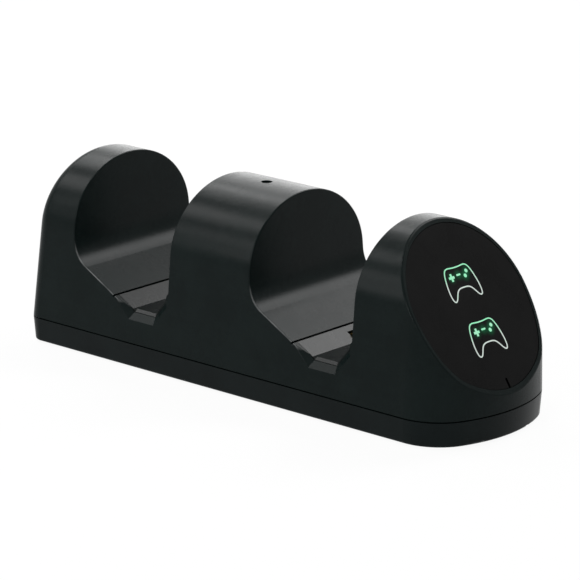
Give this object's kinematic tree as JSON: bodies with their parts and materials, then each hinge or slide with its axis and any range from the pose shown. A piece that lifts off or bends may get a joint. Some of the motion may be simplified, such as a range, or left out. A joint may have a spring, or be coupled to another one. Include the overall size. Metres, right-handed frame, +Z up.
{
  "type": "controller charging dock",
  "caption": "Long arched black dock with cradle valleys between its uprights, spring contacts on the seat slopes and a slanted oval status display at one end.",
  "frame": {"origin": "middle of the bounding box at the plane the feet stand on", "axes": "+X along the dock towards the slanted display, +Z up, +Y to the left when looking along +X"},
  "size_m": [0.2094, 0.0666, 0.0725],
  "materials": {
    "housing_plastic": "satin",
    "base_plastic": "satin",
    "insert_plastic": "satin",
    "display_plastic": "gloss",
    "foot_rubber": "matte",
    "screw_steel": "satin",
    "diffuser_plastic": "satin",
    "mask_plastic": "matte",
    "circuit_board": "satin",
    "led_resin": "gloss",
    "contact_metal": "gloss",
    "inlet_steel": "satin",
    "chip_plastic": "matte",
    "capacitor_can": "satin",
    "ferrite": "matte",
    "socket_plastic": "satin",
    "lead_sheath": "satin"
  },
  "bodies": {
    "root": {"upper_housing": "housing_plastic", "base_shell": "base_plastic", "rubber_feet": "foot_rubber", "housing_screws": "screw_steel", "display_panel": "display_plastic", "diffuser_sheet": "diffuser_plastic", "light_mask": "mask_plastic", "display_board": "circuit_board", "display_leds": "led_resin", "display_screws": "screw_steel", "rear_cradle_insert": "insert_plastic", "front_cradle_insert": "insert_plastic", "rear_contact_block": "mask_plastic", "front_contact_block": "mask_plastic", "rear_contact_tongues": "contact_metal", "front_contact_tongues": "contact_metal", "contact_screws": "screw_steel", "main_board": "circuit_board", "board_screws": "screw_steel", "usb_receptacle": "inlet_steel", "usb_tongue": "chip_plastic", "charge_chips": "chip_plastic", "storage_capacitors": "capacitor_can", "power_inductor": "ferrite", "lead_sockets": "socket_plastic", "rear_contact_lead": "lead_sheath", "front_contact_lead": "lead_sheath", "display_lead": "lead_sheath"}
  },
  "joints": []
}
